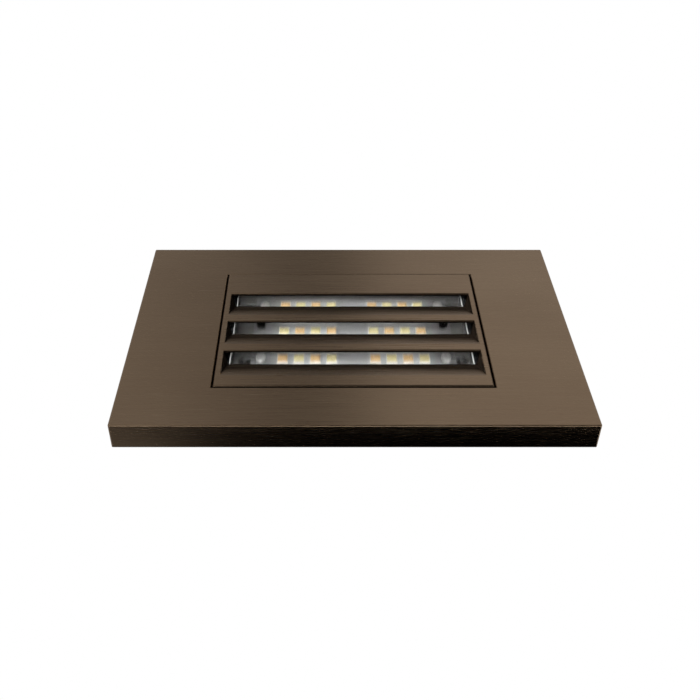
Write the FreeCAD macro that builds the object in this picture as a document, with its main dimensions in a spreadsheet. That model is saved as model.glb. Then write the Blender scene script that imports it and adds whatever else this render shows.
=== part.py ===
import FreeCAD, Part
import math
import os
import re
import Sketcher
from FreeCAD import Placement, Rotation, Vector

# Louvred step light, as it sits on a wall: X to the right, Z up, and the wall's surface is the plane Y = 0.
# The light looks towards -Y, and the housing goes into the wall box towards +Y.
# The origin is the centre of the face plate's back, on the wall.

doc = FreeCAD.newDocument("step_light")

SIZES = {
    # face plate: a dished casting round the louvre panel
    "plate_width": 114.3,
    "plate_height": 76.2,
    "plate_depth": 7.0,
    "plate_skin": 2.5,
    "plate_rim": 3.0,
    "plate_round": 0.45,
    "opening_gap_x": 0.5,
    "opening_gap_z": 0.3,
    "opening_chamfer": 0.2,
    "boss_radius": 4.4,
    "magnet_radius": 3.0,
    "magnet_thickness": 2.0,
    "magnet_inset_x": 6.65,
    "magnet_inset_z": 6.6,
    "magnet_gap": 0.3,
    "magnet_clearance": 0.1,
    # louvre panel: a face sheet with three windows, each with a blade that slopes up and inwards
    "panel_width": 68.2,
    "panel_height": 48.8,
    "panel_thickness": 4.0,
    "panel_proud": 0.3,
    "panel_chamfer": 0.3,
    "panel_top_wall": 2.8,
    "panel_side_wall": 1.35,
    "face_sheet": 0.75,
    "slot_height": 10.0,
    "slot_pitch": 12.6,
    "slot_count": 3,
    "slot_bevel": 0.25,
    "slots_below_centre": 2.9,
    "blade_rise": 7.6,
    "blade_depth": 2.7,
    "blade_edge": 0.8,
    "web_inset": 1.2,
    "flange_lip": 2.4,
    "flange_margin": 3.0,
    "panel_flange": 0.9,
    # clamp screws: through the panel's flange and the housing's flange, into the yoke
    "clamp_spacing_x": 60.0,
    "clamp_offset": 3.0,
    "clamp_screw_radius": 1.25,
    "clamp_head_radius": 2.35,
    "clamp_head_height": 1.1,
    "screw_clearance": 0.12,
    # housing: lens pocket and light cavity in front of the floor, driver cavity behind it
    "housing_margin": 0.8,
    "housing_wall": 1.5,
    "housing_corner": 2.5,
    "housing_rear_depth": 9.0,
    "rear_wall": 2.1,
    "corner_block": 4.8,
    "floor_thickness": 2.0,
    # lens and its seal
    "lens_thickness": 1.5,
    "lens_clearance": 0.2,
    "lens_gasket": 0.8,
    "lens_ledge": 2.0,
    # yoke and wall gasket
    "yoke_gap_x": 1.5,
    "yoke_gap_z": 1.2,
    "yoke_thickness": 1.2,
    "yoke_corner": 4.0,
    "yoke_clearance": 0.3,
    "box_screw_spacing": 83.34,
    "box_slot_length": 7.0,
    "box_slot_width": 4.2,
    "wall_gasket": 0.8,
    "wall_gasket_inset": 1.0,
    "wall_gasket_clearance": 0.6,
    # light source: a white board with two interleaved sets of chips
    "board_side_gap": 4.4,
    "board_height": 30.8,
    "board_thickness": 1.0,
    "board_x": 0.6,
    "board_top_gap": 0.4,
    "thermal_pad": 0.3,
    "thermal_pad_inset": 1.5,
    "led_columns": 4,
    "led_rows": 3,
    "led_column_pitch": 4.3,
    "led_row_pitch": 11.87,
    "led_group_spacing": 24.38,
    "led_width": 2.8,
    "led_height": 3.5,
    "led_thickness": 0.7,
    "led_frame": 0.15,
    "led_recess": 0.15,
    "board_screw_inset": 1.9,
    "board_screw_rise": 3.0,
    "board_screw_radius": 1.0,
    "board_head_radius": 1.2,
    "board_head_height": 1.0,
    "board_screw_length": 2.4,
    "terminal_inset_x": 2.6,
    "terminal_inset_z": 3.9,
    "terminal_rise": 0.2,
    "terminal_width": 2.6,
    "terminal_height": 4.0,
    "terminal_thickness": 0.9,
    "lead_radius": 0.4,
    "lead_gap": 0.1,
    "lead_reach": 2.9,
    "lead_bend": 1.2,
    "grommet_radius": 1.5,
    "grommet_lip": 0.25,
    # driver
    "driver_width": 50.0,
    "driver_height": 36.0,
    "driver_thickness": 1.2,
    "standoff_height": 1.8,
    "standoff_radius": 2.2,
    "driver_screw_inset": 3.5,
    "driver_screw_radius": 0.9,
    "driver_head_radius": 1.7,
    "driver_head_height": 0.9,
    "driver_screw_length": 3.0,
    "inductor_radius": 4.6,
    "inductor_height": 5.0,
    "inductor_flange": 1.0,
    "inductor_winding_depth": 0.65,
    "inductor_x": 4.0,
    "inductor_z": 0.0,
    "capacitor_radius": 3.15,
    "capacitor_height": 5.8,
    "capacitor_x": -21.0,
    "capacitor_pitch": 7.6,
    "capacitor_foot": 1.05,
    "capacitor_groove_width": 0.45,
    "capacitor_groove_depth": 0.3,
    "chip_length": 4.9,
    "chip_width": 3.9,
    "chip_height": 1.6,
    "chip_x": -8.5,
    "chip_z": 9.5,
    "chip_pitch": 10.0,
    "terminal_block_length": 10.0,
    "terminal_block_width": 6.6,
    "terminal_block_height": 6.0,
    "terminal_block_x": 18.2,
    "wire_pitch": 5.0,
    "wire_well_radius": 1.65,
    "wire_well_depth": 2.0,
    "wire_entry_foot": 0.75,
    "wire_entry_height": 2.25,
    "wire_entry_width": 2.5,
    "wire_entry_depth": 2.2,
    # colour selector in the rear cover
    "selector_x": -12.0,
    "selector_length": 15.0,
    "selector_width": 7.0,
    "selector_depth": 6.0,
    "selector_well": 3.6,
    "selector_travel": 6.0,
    "knob_length": 3.2,
    "knob_width": 2.8,
    "knob_proud": 1.6,
    "knob_clearance": 0.35,
    "knob_groove_width": 0.4,
    "knob_groove_depth": 0.4,
    "knob_groove_pitch": 1.3,
    # rear cover
    "cover_gasket": 0.6,
    "cover_gasket_inset": 0.4,
    "cover_thickness": 1.6,
    "dome_width": 56.0,
    "dome_height": 28.0,
    "dome_depth": 9.0,
    "dome_wall": 1.6,
    "dome_corner": 4.0,
    "dome_round": 1.5,
    "cover_screw_inset": 4.6,
    "cover_screw_radius": 1.5,
    "cover_head_radius": 2.75,
    "cover_head_height": 1.9,
    "cover_screw_length": 5.3,
    "cover_screw_end_gap": 0.7,
    "recess_depth": 0.7,
    "recess_width": 0.6,
    "recess_wall": 0.6,
    "rib_count": 7,
    "rib_pitch": 7.0,
    "rib_thickness": 1.5,
    "rib_foot": 6.6,
    "rib_height": 6.4,
    "rib_lip": 1.4,
    # cable gland in the rear cover
    "gland_x": 14.0,
    "gland_thread_radius": 5.0,
    "gland_bore_radius": 3.3,
    "gland_hex_across": 12.4,
    "gland_hex_height": 2.6,
    "gland_neck_height": 4.2,
    "gland_neck_radius": 4.2,
    "gland_nut_height": 5.6,
    "gland_nut_across": 11.6,
    "gland_nut_grip": 3.3,
    "gland_nut_wall": 1.6,
    "gland_nose_radius": 3.8,
    "gland_mouth_radius": 2.8,
    "gland_seal_wall": 0.95,
    "gland_seal_clearance": 0.05,
    "locknut_across": 14.0,
    "locknut_height": 1.8,
    "gland_clearance": 0.1,
}

# Planes of the stack along Y, and the sizes that follow from a fit.
DERIVED = {
    "plate_front": "-plate_depth",
    "skin_back": "plate_front + plate_skin",
    "panel_front": "plate_front - panel_proud",
    "panel_back": "panel_front + panel_thickness",
    "panel_flange_front": "panel_back - panel_flange",
    "yoke_back": "-wall_gasket",
    "yoke_front": "yoke_back - yoke_thickness",
    "boss_end": "yoke_front - magnet_gap",
    "lens_back": "panel_back + lens_thickness",
    "ledge_front": "lens_back + lens_gasket",
    "housing_width": "panel_width + 2 * housing_margin",
    "housing_height": "panel_height + 2 * housing_margin",
    "pocket_width": "housing_width - 2 * housing_wall",
    "pocket_height": "housing_height - 2 * housing_wall",
    "cavity_width": "pocket_width - 2 * lens_ledge",
    "cavity_height": "pocket_height - 2 * lens_ledge",
    "slot_length": "panel_width - 2 * panel_side_wall",
    "flange_width": "panel_width + 2 * flange_lip",
    "flange_height": "clamp_spacing_z + 2 * flange_margin",
    "clamp_spacing_z": "housing_height + 2 * clamp_offset",
    "magnet_spacing_x": "plate_width - 2 * (plate_rim + magnet_inset_x)",
    "magnet_spacing_z": "plate_height - 2 * (plate_rim + magnet_inset_z)",
    "yoke_width": "plate_width - 2 * (plate_rim + yoke_gap_x)",
    "yoke_height": "plate_height - 2 * (plate_rim + yoke_gap_z)",
    "opening_width": "panel_width + 2 * opening_gap_x",
    "opening_height": "panel_height + 2 * opening_gap_z",
    "lowest_slot": "-slots_below_centre - (slot_count - 1) * slot_pitch / 2 - slot_height / 2",
    "blade_tip": "panel_front + blade_depth",
    "led_front": "ledge_front",
    "board_front": "led_front + led_thickness",
    "board_back": "board_front + board_thickness",
    "floor_front": "board_back + thermal_pad",
    "floor_back": "floor_front + floor_thickness",
    "driver_front": "floor_back + standoff_height",
    "driver_back": "driver_front + driver_thickness",
    "housing_back": "housing_rear_depth",
    "cover_front": "housing_back + cover_gasket",
    "cover_back": "cover_front + cover_thickness",
    "dome_back": "cover_back + dome_depth",
    "dome_ceiling": "dome_back - dome_wall",
    "rear_width": "housing_width - 2 * rear_wall",
    "rear_height": "housing_height - 2 * rear_wall",
    "selector_front": "dome_ceiling - selector_depth",
    "well_floor": "dome_ceiling - selector_well",
    "knob_foot": "well_floor + knob_clearance",
    "selector_slot": "selector_travel + knob_length + 2 * knob_clearance",
    "gland_face": "dome_back + gland_hex_height",
    "gland_neck_end": "gland_face + gland_neck_height",
    "gland_nut_end": "gland_face + gland_nut_height + gland_clearance",
    "board_width": "cavity_width - 2 * board_side_gap",
    "board_z": "cavity_height / 2 - board_top_gap - board_height / 2",
    "board_screw_spacing": "board_width - 2 * board_screw_inset",
    "board_screw_z": "board_z + board_screw_rise",
    "terminal_spacing_x": "board_width - 2 * terminal_inset_x",
    "terminal_spacing_z": "board_height - 2 * terminal_inset_z",
    "driver_screw_spacing_x": "driver_width - 2 * driver_screw_inset",
    "driver_screw_spacing_z": "driver_height - 2 * driver_screw_inset",
    "cover_screw_spacing_x": "housing_width - 2 * cover_screw_inset",
    "cover_screw_spacing_z": "housing_height - 2 * cover_screw_inset",
    "gland_inner_end": "dome_ceiling - locknut_height - gland_clearance",
    "lead_level": "board_front - lead_gap - lead_radius",
    "lead_hole_x": "board_width / 2 + lead_reach - lead_bend",
    "terminal_z": "board_z + terminal_rise",
}

# Which way a sketch on each of a body's planes faces, and how its own axes lie.
FRONT_PLANE = "XZ_Plane"    # faces -Y, drawn in X and Z
SIDE_PLANE = "YZ_Plane"     # faces +X, drawn in Y and Z

SIDES = (-1, 1)
NEAR = 0.01     # how close two places are when they count as the same
ALONG_Y = Rotation(Vector(1, 0, 0), -90)


def fill_sheet():
    """The driving dimensions, one row each: the name, the number and its alias."""
    sheet = doc.addObject("Spreadsheet::Sheet", "sizes")
    for row, (name, value) in enumerate(SIZES.items(), start=1):
        sheet.set(f"A{row}", name)
        sheet.set(f"B{row}", str(value))
        sheet.setAlias(f"B{row}", name)
    doc.recompute()
    return sheet


def formula(text):
    """Turns names of sizes and of derived planes into references to the sheet."""
    def reference(match):
        word = match.group(0)
        if word in DERIVED:
            return "(" + formula(DERIVED[word]) + ")"
        return f"sizes.{word}" if word in SIZES else word
    return re.sub(r"[A-Za-z_]\w*", reference, str(text))


def bind(item, **properties):
    """Ties properties to formulas; a double underscore stands for a dot."""
    for name, text in properties.items():
        item.setExpression(name.replace("__", "."), formula(text))


def place(item, x=0, y=0, z=0):
    bind(item, Placement__Base__x=x, Placement__Base__y=y, Placement__Base__z=z)
    return item


def middle(size, at=0):
    """The two ends of a size that is centred on a place."""
    return f"({at}) - ({size}) / 2", f"({at}) + ({size}) / 2"


# ---- solids from primitives ----

def box(name, x, y, z):
    """A block between two ends along each axis."""
    block = doc.addObject("Part::Box", name)
    bind(block, Length=f"({x[1]}) - ({x[0]})", Width=f"({y[1]}) - ({y[0]})", Height=f"({z[1]}) - ({z[0]})")
    return place(block, x[0], y[0], z[0])


def cylinder(name, radius, y, x=0, z=0):
    """A round bar along Y between two planes."""
    bar = doc.addObject("Part::Cylinder", name)
    bar.Placement = Placement(Vector(), ALONG_Y)
    bind(bar, Radius=radius, Height=f"({y[1]}) - ({y[0]})")
    return place(bar, x, y[0], z)


def cone(name, first, last, y, x=0, z=0):
    """A tapered round along Y, from the first radius to the last."""
    taper = doc.addObject("Part::Cone", name)
    taper.Placement = Placement(Vector(), ALONG_Y)
    bind(taper, Radius1=first, Radius2=last, Height=f"({y[1]}) - ({y[0]})")
    return place(taper, x, y[0], z)


def hexagon(name, across, y, x=0, z=0):
    """A hexagonal bar along Y, given by its width across the flats."""
    outline = doc.addObject("Part::RegularPolygon", name + "_outline")
    outline.Polygon = 6
    outline.Placement = Placement(Vector(), ALONG_Y)
    bind(outline, Circumradius=f"({across}) / sqrt(3)")
    place(outline, x, y[0], z)
    bar = doc.addObject("Part::Extrusion", name)
    bar.Base = outline
    bar.DirMode = "Custom"
    bar.Dir = Vector(0, 1, 0)
    bar.Solid = True
    bind(bar, LengthFwd=f"({y[1]}) - ({y[0]})")
    return bar


def fuse(name, *solids):
    joined = doc.addObject("Part::MultiFuse", name)
    joined.Shapes = list(solids)
    joined.Refine = True
    return joined


def cut(name, base, *tools):
    """The base without the tools."""
    piece = doc.addObject("Part::Cut", name)
    piece.Base = base
    piece.Tool = tools[0] if len(tools) == 1 else group(name + "_tools", *tools)
    piece.Refine = True
    return piece


def group(name, *solids):
    """Alike pieces that share a node and stay separate solids."""
    bunch = doc.addObject("Part::Compound", name)
    bunch.Links = list(solids)
    return bunch


def four_corners(make, spacing_x, spacing_z, at_x=0, at_z=0):
    """Makes one solid at each corner of a rectangle."""
    corners = [(across, up) for across in SIDES for up in SIDES]
    return [make(number, f"({at_x}) + {across} * ({spacing_x}) / 2", f"({at_z}) + {up} * ({spacing_z}) / 2")
            for number, (across, up) in enumerate(corners, start=1)]


# ---- bodies from sketches ----

def new_body(name):
    return doc.addObject("PartDesign::Body", name)


def new_sketch(body, name, role=FRONT_PLANE, level=0):
    """A sketch on one of the body's own planes; on the front plane the level is its Y."""
    sketch = body.newObject("Sketcher::SketchObject", name)
    support = [plane for plane in body.Origin.OriginFeatures if plane.Role == role][0]
    sketch.AttachmentSupport = (support, [""])
    sketch.MapMode = "FlatFace"
    sign = "-" if role == FRONT_PLANE else ""
    bind(sketch, AttachmentOffset__Base__z=f"{sign}({level})")
    return sketch


def hold(sketch, geometry, point, x, y):
    """Fixes a point of the sketch at a place measured from the sketch's origin."""
    for kind, text in (("DistanceX", x), ("DistanceY", y)):
        number = sketch.addConstraint(Sketcher.Constraint(kind, -1, 1, geometry, point, 1.0))
        sketch.setExpression(f"Constraints[{number}]", formula(text))


def polygon(sketch, points):
    """A closed outline of straight lines through points given as formulas."""
    count = len(points)
    rough = [Vector(10 * (index in (1, 2)), 10 * (index in (2, 3)), 0) for index in range(count)]
    first = sketch.GeometryCount
    for index in range(count):
        sketch.addGeometry(Part.LineSegment(rough[index], rough[(index + 1) % count]))
    for index in range(count):
        after = first + (index + 1) % count
        sketch.addConstraint(Sketcher.Constraint("Coincident", first + index, 2, after, 1))
        hold(sketch, first + index, 1, *points[index])


def rectangle(sketch, x, y):
    """A rectangle between two ends along each of the sketch's axes."""
    polygon(sketch, [(x[0], y[0]), (x[1], y[0]), (x[1], y[1]), (x[0], y[1])])


def circle(sketch, radius, x=0, y=0):
    number = sketch.addGeometry(Part.Circle(Vector(5, 5, 0), Vector(0, 0, 1), 1.0))
    hold(sketch, number, 3, x, y)
    size = sketch.addConstraint(Sketcher.Constraint("Radius", number, 1.0))
    sketch.setExpression(f"Constraints[{size}]", formula(radius))


def circles(sketch, radius, spacing_x, spacing_z, at_x=0, at_z=0):
    """A circle at each corner of a rectangle."""
    for across in SIDES:
        for up in SIDES:
            circle(sketch, radius, f"({at_x}) + {across} * ({spacing_x}) / 2",
                   f"({at_z}) + {up} * ({spacing_z}) / 2")


def pad(body, sketch, length, towards_wall=False, centred=False):
    """Adds material; on the front plane it grows towards the room unless it goes towards the wall."""
    feature = body.newObject("PartDesign::Pad", sketch.Name + "_pad")
    feature.Profile = sketch
    feature.Reversed = towards_wall
    feature.Midplane = centred
    bind(feature, Length=length)
    doc.recompute()
    return feature


def pocket(body, sketch, length, towards_wall=True, centred=False):
    """Takes material away, and makes sure that the cut met some."""
    before = body.Shape.Volume
    feature = body.newObject("PartDesign::Pocket", sketch.Name + "_pocket")
    feature.Profile = sketch
    feature.Reversed = not towards_wall
    feature.Midplane = centred
    bind(feature, Length=length)
    doc.recompute()
    if body.Shape.Volume > before - NEAR:
        raise RuntimeError(f"{feature.Name} cut nothing")
    return feature


def edges_where(shape, test):
    """Names of the shape's edges whose bounding box passes the test."""
    return [f"Edge{number}" for number, edge in enumerate(shape.Edges, start=1) if test(edge.BoundBox)]


def soften(body, kind, size, test):
    """A fillet or chamfer on the edges that pass the test."""
    base = body.Tip
    feature = body.newObject("PartDesign::" + kind, body.Name + "_" + kind.lower())
    feature.Base = (base, edges_where(base.Shape, test))
    bind(feature, **{"Radius" if kind == "Fillet" else "Size": size})
    doc.recompute()
    return feature


def long_edges(length_of):
    """A test for straight edges that run along Y for at least a length."""
    return lambda bound: bound.XLength < NEAR and bound.ZLength < NEAR and bound.YLength > length_of


def repeat_along(body, features, role, length, count, name):
    """A row of copies of the features along the axis with this role."""
    pattern = body.newObject("PartDesign::LinearPattern", name)
    pattern.Originals = features
    axis = [line for line in body.Origin.OriginFeatures if line.Role == role][0]
    pattern.Direction = (axis, [""])
    bind(pattern, Length=length, Occurrences=count)
    body.Tip = pattern
    doc.recompute()
    return pattern


# ---- face plate and what is on it ----

def face_plate():
    """Dished plate with a round boss for a magnet behind each corner."""
    body = new_body("face_plate")
    outline = new_sketch(body, "plate_outline")
    rectangle(outline, middle("plate_width"), middle("plate_height"))
    pad(body, outline, "plate_depth")
    hollow = new_sketch(body, "plate_hollow")
    rectangle(hollow, middle("plate_width - 2 * plate_rim"), middle("plate_height - 2 * plate_rim"))
    pocket(body, hollow, "plate_depth - plate_skin", towards_wall=False)
    opening = new_sketch(body, "plate_opening")
    rectangle(opening, middle("opening_width"), middle("opening_height"))
    pocket(body, opening, "plate_depth", towards_wall=False)
    bosses = new_sketch(body, "plate_bosses", level="skin_back")
    circles(bosses, "boss_radius", "magnet_spacing_x", "magnet_spacing_z")
    pad(body, bosses, "boss_end - skin_back", towards_wall=True)
    seats = new_sketch(body, "magnet_seats", level="boss_end")
    circles(seats, "magnet_radius + magnet_clearance", "magnet_spacing_x", "magnet_spacing_z")
    pocket(body, seats, "magnet_thickness", towards_wall=False)
    front = -sizes.plate_depth
    outer_x = sizes.plate_width / 2
    outer_z = sizes.plate_height / 2

    def outer_edge(bound):
        on_outline = max(abs(bound.XMin), abs(bound.XMax)) > outer_x - NEAR
        on_outline = on_outline or max(abs(bound.ZMin), abs(bound.ZMax)) > outer_z - NEAR
        on_front = bound.YMax < front + NEAR
        corner = bound.YLength > sizes.plate_depth - NEAR
        return on_outline and (on_front or corner)

    def opening_edge(bound):
        on_front = bound.YMax < front + NEAR
        inside = max(abs(bound.XMin), abs(bound.XMax)) < outer_x - sizes.plate_rim
        return on_front and inside

    soften(body, "Fillet", "plate_round", outer_edge)
    soften(body, "Chamfer", "opening_chamfer", opening_edge)
    return body


def plate_magnets():
    """Disc magnets pressed into the plate's bosses; they hold it to the steel yoke."""
    def disc(number, x, z):
        y = ("boss_end - magnet_thickness", "boss_end")
        return cylinder(f"magnet_{number}", "magnet_radius", y, x, z)

    return group("plate_magnets", *four_corners(disc, "magnet_spacing_x", "magnet_spacing_z"))


# ---- louvre panel ----

def end_web(body, side, slot):
    """The drawn end of a window: a sloping corner between the side wall and the blade's tip."""
    web = body.newObject("PartDesign::AdditiveWedge", "end_web")
    turned = Rotation(Vector(0, 0, 1), Vector(-side, 0, 0), Vector(0, -side, 0), "XYZ")
    web.Placement = Placement(Vector(), turned)
    place(web, f"{side} * slot_length / 2", 0, f"lowest_slot + {slot} * slot_pitch")
    face, near, far = "panel_front", "blade_tip", "blade_tip + blade_edge"
    depths = [face, far, near, far] if side < 0 else [f"-({far})", f"-({face})", f"-({far})", f"-({near})"]
    # The wedge's own Y runs inwards from the side wall, its X up the wall and its Z along the panel's depth.
    bind(web, Ymin=0, Ymax="web_inset", Xmin=0, Xmax="slot_height", X2min="blade_rise", X2max="blade_rise")
    bind(web, **dict(zip(("Zmin", "Zmax", "Z2min", "Z2max"), depths)))
    doc.recompute()


def clamp_holes(body, front, back, with_head=False):
    """Holes for the four clamp screws, sunk for their heads where the heads sit."""
    def at(feature, x, y, z):
        feature.Placement = Placement(Vector(), ALONG_Y)
        place(feature, x, y, z)
        return feature

    for across in SIDES:
        for up in SIDES:
            x = f"{across} * clamp_spacing_x / 2"
            z = f"{up} * clamp_spacing_z / 2"
            hole = at(body.newObject("PartDesign::SubtractiveCylinder", "clamp_hole"), x, front, z)
            bind(hole, Radius="clamp_screw_radius + screw_clearance", Height=f"({back}) - ({front})")
            if with_head:
                taper = body.newObject("PartDesign::SubtractiveCone", "clamp_sink")
                sink = at(taper, x, "panel_flange_front", z)
                bind(sink, Radius1="clamp_head_radius + screw_clearance",
                     Radius2="clamp_screw_radius + screw_clearance", Height="clamp_head_height")
    doc.recompute()


def louver_panel():
    """Panel with three windows over a hollow, a bevel on each upper lip, a blade in each, and a flange."""
    body = new_body("louver_panel")
    block = new_sketch(body, "panel_block", level="panel_back")
    rectangle(block, middle("panel_width"), middle("panel_height"))
    pad(body, block, "panel_thickness")
    front = -sizes.plate_depth - sizes.panel_proud
    soften(body, "Chamfer", "panel_chamfer", lambda bound: bound.YMax < front + NEAR)
    flange = new_sketch(body, "panel_flange", level="panel_back")
    rectangle(flange, middle("flange_width"), middle("flange_height"))
    pad(body, flange, "panel_flange")
    hollow = new_sketch(body, "panel_hollow", level="panel_back")
    rectangle(hollow, middle("slot_length"), ("lowest_slot", "panel_height / 2 - panel_top_wall"))
    pocket(body, hollow, "panel_thickness - face_sheet", towards_wall=False)
    window = new_sketch(body, "window", level="panel_front")
    rectangle(window, middle("slot_length"), ("lowest_slot", "lowest_slot + slot_height"))
    window_cut = pocket(body, window, "face_sheet")
    window_top = "lowest_slot + slot_height"
    lip = new_sketch(body, "lip_bevel", role=SIDE_PLANE)
    polygon(lip, [
        ("panel_front", window_top),
        ("panel_front + slot_bevel", window_top),
        ("panel_front", f"{window_top} + slot_bevel"),
    ])
    lip_cut = pocket(body, lip, "slot_length", centred=True)
    row_length = "slot_pitch * (slot_count - 1)"
    repeat_along(body, [window_cut, lip_cut], "Z_Axis", row_length, "slot_count", "windows")
    blade = new_sketch(body, "blade", role=SIDE_PLANE)
    polygon(blade, [
        ("panel_front", "lowest_slot"),
        ("panel_front + face_sheet", "lowest_slot"),
        ("blade_tip + blade_edge", "lowest_slot + blade_rise"),
        ("blade_tip", "lowest_slot + blade_rise"),
    ])
    blade_pad = pad(body, blade, "slot_length", centred=True)
    repeat_along(body, [blade_pad], "Z_Axis", row_length, "slot_count", "blades")
    for slot in range(int(sizes.slot_count)):
        for side in SIDES:
            end_web(body, side, slot)
    clamp_holes(body, "panel_flange_front", "panel_back", with_head=True)
    return body


def panel_screws():
    """Countersunk screws that clamp the panel, the housing and the yoke together."""
    def screw(number, x, z):
        head = cone(f"panel_screw_head_{number}", "clamp_head_radius", "clamp_screw_radius",
                    ("panel_flange_front", "panel_flange_front + clamp_head_height"), x, z)
        shank = cylinder(f"panel_screw_shank_{number}", "clamp_screw_radius",
                         ("panel_flange_front + clamp_head_height", "yoke_back"), x, z)
        blank = fuse(f"panel_screw_blank_{number}", head, shank)
        drive = cross_recess(f"panel_drive_{number}", "clamp_head_radius", "panel_flange_front", 1, x, z)
        return cut(f"panel_screw_{number}", blank, *drive)
    return group("panel_screws", *four_corners(screw, "clamp_spacing_x", "clamp_spacing_z"))


def cross_recess(name, head_radius, face, inwards, x, z):
    """The two bars of a cross drive, cut into a head from its face; inwards is the way along Y."""
    depth = ("0", "recess_depth") if inwards > 0 else ("-recess_depth", "0")
    y = (f"{face} + {depth[0]}", f"{face} + {depth[1]}")
    reach = f"2 * ({head_radius} - recess_wall)"
    flat = box(name + "_flat", middle(reach, x), y, middle("recess_width", z))
    upright = box(name + "_upright", middle("recess_width", x), y, middle(reach, z))
    return flat, upright


# ---- lens and seal ----

def lens():
    """Flat pane in the housing's front pocket, held down by the louvre panel."""
    return box("lens", middle("pocket_width - 2 * lens_clearance"), ("panel_back", "lens_back"),
               middle("pocket_height - 2 * lens_clearance"))


def lens_gasket():
    """Flat seal between the lens and the housing's ledge."""
    y = ("lens_back", "ledge_front")
    sheet = box("lens_gasket_sheet", middle("pocket_width - 2 * lens_clearance"), y,
                middle("pocket_height - 2 * lens_clearance"))
    window = box("lens_gasket_window", middle("cavity_width + lens_clearance"), y,
                 middle("cavity_height + lens_clearance"))
    return cut("lens_gasket", sheet, window)


# ---- light source ----

def led_board():
    """White metal-core board, screwed to the housing's floor at both ends."""
    y = ("board_front", "board_back")
    sheet = box("board_sheet", middle("board_width", "board_x"), y, middle("board_height", "board_z"))
    holes = [cylinder(f"board_hole_{side}", "board_screw_radius + screw_clearance", y,
                      f"board_x + {side} * board_screw_spacing / 2", "board_screw_z")
             for side in SIDES]
    return cut("led_board", sheet, *holes)


def led_places(odd):
    """Places of every second chip, in a chequer pattern over the rows and columns."""
    places = []
    for row in range(int(sizes.led_rows)):
        for index in range(2 * int(sizes.led_columns)):
            if (row + index) % 2 != odd:
                continue
            side, column = divmod(index, int(sizes.led_columns))
            x = (f"board_x + ({side} - 0.5) * led_group_spacing"
                 f" + ({column} - (led_columns - 1) / 2) * led_column_pitch")
            z = f"board_z + ({row} - (led_rows - 1) / 2) * led_row_pitch"
            places.append((x, z))
    return places


def led_chips(name, odd):
    """Chips with a shallow well for the phosphor, framed by the package."""
    chips = []
    for number, (x, z) in enumerate(led_places(odd), start=1):
        package = box(f"{name}_package_{number}", middle("led_width", x), ("led_front", "board_front"),
                      middle("led_height", z))
        well = box(f"{name}_well_{number}", middle("led_width - 2 * led_frame", x),
                   ("led_front", "led_front + led_recess"), middle("led_height - 2 * led_frame", z))
        chips.append(cut(f"{name}_chip_{number}", package, well))
    return group(name, *chips)


def board_screws():
    """Pan-head screws through the board into the floor."""
    screws = []
    for side in SIDES:
        x = f"board_x + {side} * board_screw_spacing / 2"
        z = "board_screw_z"
        head_face = "board_front - board_head_height"
        head = cylinder(f"board_head_{side}", "board_head_radius", (head_face, "board_front"), x, z)
        shank = cylinder(f"board_shank_{side}", "board_screw_radius",
                         ("board_front", "board_front + board_screw_length"), x, z)
        drive = cross_recess(f"board_drive_{side}", "board_head_radius", head_face, 1, x, z)
        screws.append(cut(f"board_screw_{side}", fuse(f"board_blank_{side}", head, shank), *drive))
    return group("board_screws", *screws)


def board_terminals():
    """Solder terminals at the board's corners, one for each lead."""
    def block(number, x, z):
        y = ("board_front - terminal_thickness", "board_front")
        return box(f"terminal_{number}", middle("terminal_width", x), y, middle("terminal_height", z))

    return group("board_terminals", *four_corners(block, "terminal_spacing_x", "terminal_spacing_z",
                                                  "board_x", "terminal_z"))


def thermal_pad():
    """Soft pad that carries heat from the board to the floor."""
    y = ("board_back", "floor_front")
    sheet = box("thermal_sheet", middle("board_width - 2 * thermal_pad_inset", "board_x"), y,
                middle("board_height - 2 * thermal_pad_inset", "board_z"))
    holes = [cylinder(f"thermal_hole_{side}", "board_screw_radius + screw_clearance", y,
                      f"board_x + {side} * board_screw_spacing / 2", "board_screw_z")
             for side in SIDES]
    return cut("thermal_pad", sheet, *holes)


def number(text):
    """The value of a size or a derived plane, for shapes that are set in code."""
    probe = doc.addObject("App::FeaturePython", "probe")
    probe.addProperty("App::PropertyFloat", "Value")
    bind(probe, Value=text)
    doc.recompute()
    value = probe.Value
    doc.removeObject(probe.Name)
    return value


def board_leads():
    """Insulated leads from the terminals, over the board's edge and through the floor to the driver."""
    level = number("lead_level")
    end = number("driver_front")
    radius = sizes.lead_radius
    bend = sizes.lead_bend
    leads = []
    for side in SIDES:
        for up in SIDES:
            start = number(f"board_x + {side} * (terminal_spacing_x + terminal_width) / 2")
            turn = number(f"board_x + {side} * lead_hole_x") - side * bend
            z = number(f"terminal_z + {up} * terminal_spacing_z / 2")
            corner = Vector(turn, level + bend, z)
            below = Vector(turn + side * bend, level + bend, z)
            # a quarter circle joins the run over the board to the run through the floor
            half = Vector(side * bend * math.sqrt(0.5), -bend * math.sqrt(0.5), 0)
            path = Part.Wire([
                Part.LineSegment(Vector(start, level, z), Vector(turn, level, z)).toShape(),
                Part.Arc(Vector(turn, level, z), corner + half, below).toShape(),
                Part.LineSegment(below, Vector(below.x, end, z)).toShape(),
            ])
            ring = Part.Wire(Part.Circle(Vector(start, level, z), Vector(side, 0, 0), radius).toShape())
            leads.append(path.makePipeShell([ring], True, False))
    piece = doc.addObject("Part::Feature", "board_leads")
    piece.Shape = Part.makeCompound(leads)
    return piece


def lead_places():
    """Where the leads pass through the floor."""
    return [(f"board_x + {side} * lead_hole_x", f"terminal_z + {up} * terminal_spacing_z / 2")
            for side in SIDES for up in SIDES]


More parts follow.
